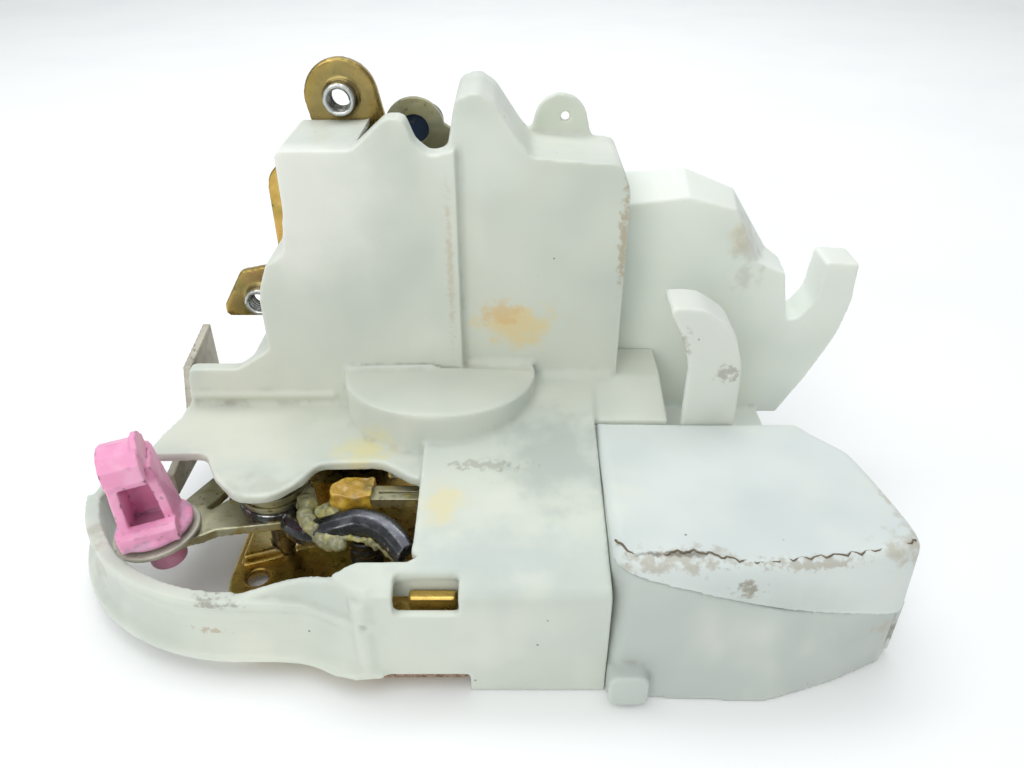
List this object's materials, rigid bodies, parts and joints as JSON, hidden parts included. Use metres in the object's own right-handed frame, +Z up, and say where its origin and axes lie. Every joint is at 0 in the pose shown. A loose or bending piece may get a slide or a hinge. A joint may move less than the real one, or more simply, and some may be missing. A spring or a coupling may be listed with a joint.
{
  "type": "door latch actuator",
  "caption": "Door latch with a milky plastic cover, steel face plate, release lever with rod clip, and a motor box that drives the lock.",
  "frame": {"origin": "middle of the part's bounding box along X and Y, at the height of the surface that it stands on", "axes": "+X to the right along the front wall towards the actuator box, +Y back to the face plate, +Z up along the face plate"},
  "size_m": [0.1852, 0.0886, 0.1063],
  "materials": {
    "gold_steel": "yellow chromate plate on pressed steel",
    "slate_plastic": "moulded, dark slate blue",
    "claw_steel": "case-hardened, greased",
    "pin_steel": "turned and riveted",
    "spring_steel": "drawn wire",
    "olive_steel": "olive chromate, greased",
    "natural_plastic": "milky natural moulding",
    "lid_plastic": "milky natural moulding, scuffed",
    "shield_plastic": "milky natural moulding",
    "hood_plastic": "milky natural moulding",
    "screw_steel": "zinc plated",
    "motor_steel": "drawn can",
    "dark_plastic": "moulded",
    "contact_brass": "stamped",
    "worm_brass": "machined",
    "gear_plastic": "moulded",
    "resin": "amber resin under grease",
    "arm_steel": "dark, worn bright on its crown",
    "zinc_steel": "dull zinc",
    "pink_plastic": "moulded, soiled at its edges",
    "black_rubber": "moulded, shiny"
  },
  "bodies": {
    "housing": {"latch_frame": "gold_steel", "backing_plate": "gold_steel", "latch_body": "slate_plastic", "claw_pin": "pin_steel", "claw_spring": "spring_steel", "pawl_pin": "pin_steel", "pawl_spring": "spring_steel", "ring_lever_pin": "pin_steel", "latch_cover": "natural_plastic", "actuator_case": "natural_plastic", "actuator_lid": "lid_plastic", "case_screws": "screw_steel", "motor_can": "motor_steel", "motor_end_cap": "dark_plastic", "motor_terminals": "contact_brass", "wheel_pin": "pin_steel", "lever_stud": "pin_steel", "return_spring": "spring_steel", "side_bracket": "zinc_steel", "bracket_rivets": "pin_steel", "stop_bumper": "black_rubber", "harness_shield": "shield_plastic", "harness_hood": "hood_plastic"},
    "claw": {"claw": "claw_steel"},
    "pawl": {"pawl": "claw_steel"},
    "handle": {"ring_lever": "olive_steel"},
    "release": {"release_lever": "olive_steel", "curved_arm": "arm_steel", "pivot_drum": "olive_steel", "clip_washer": "zinc_steel"},
    "clip": {"rod_clip": "pink_plastic"},
    "rotor": {"motor_shaft": "spring_steel", "worm": "worm_brass"},
    "wheel": {"worm_wheel": "gear_plastic"},
    "rack": {"lock_rack": "olive_steel", "resin_block": "resin"}
  },
  "joints": [
    {"name": "claw_hinge", "type": "hinge", "parent": "housing", "child": "claw", "pos_m": [-0.0317, 0.037, 0.036], "axis": [0, -1, 0], "range_deg": [0, 55], "stiffness_Nm_per_rad": 0.04, "springref_deg": -17.19},
    {"name": "pawl_hinge", "type": "hinge", "parent": "housing", "child": "pawl", "pos_m": [-0.0057, 0.037, 0.058], "axis": [0, -1, 0], "range_deg": [0, 10], "stiffness_Nm_per_rad": 0.04, "springref_deg": -17.19},
    {"name": "ring_lever_hinge", "type": "hinge", "parent": "housing", "child": "handle", "pos_m": [0.0043, 0.039, 0.078], "axis": [0, -1, 0], "range_deg": [0, 8], "stiffness_Nm_per_rad": 0.03, "springref_deg": -17.19},
    {"name": "release_lever_hinge", "type": "hinge", "parent": "housing", "child": "release", "pos_m": [-0.0457, -0.003, 0.0168], "axis": [0, 0, -1], "range_deg": [0, 8], "stiffness_Nm_per_rad": 0.04, "springref_deg": -11.46},
    {"name": "rod_clip_swivel", "type": "hinge", "parent": "release", "child": "clip", "pos_m": [-0.0691, -0.014, 0.0203], "axis": [0, 0, 1], "range_deg": [-20, 20]},
    {"name": "rotor_spin", "type": "hinge", "parent": "housing", "child": "rotor", "pos_m": [0.0503, -0.023, 0.017], "axis": [1, 0, 0], "range_deg": [0, 1211]},
    {"name": "wheel_hinge", "type": "hinge", "parent": "housing", "child": "wheel", "pos_m": [0.0396, -0.0094, 0.017], "axis": [0, 0, 1], "range_deg": [0, 55.2]},
    {"name": "rack_slide", "type": "slide", "parent": "housing", "child": "rack", "axis": [1, 0, 0], "range_m": [0, 0.0048]}
  ],
  "couplings": [
    {"joint": "wheel_hinge", "follows": "rack_slide", "rad_per_m": 200},
    {"joint": "rotor_spin", "follows": "rack_slide", "rad_per_m": 4400}
  ]
}
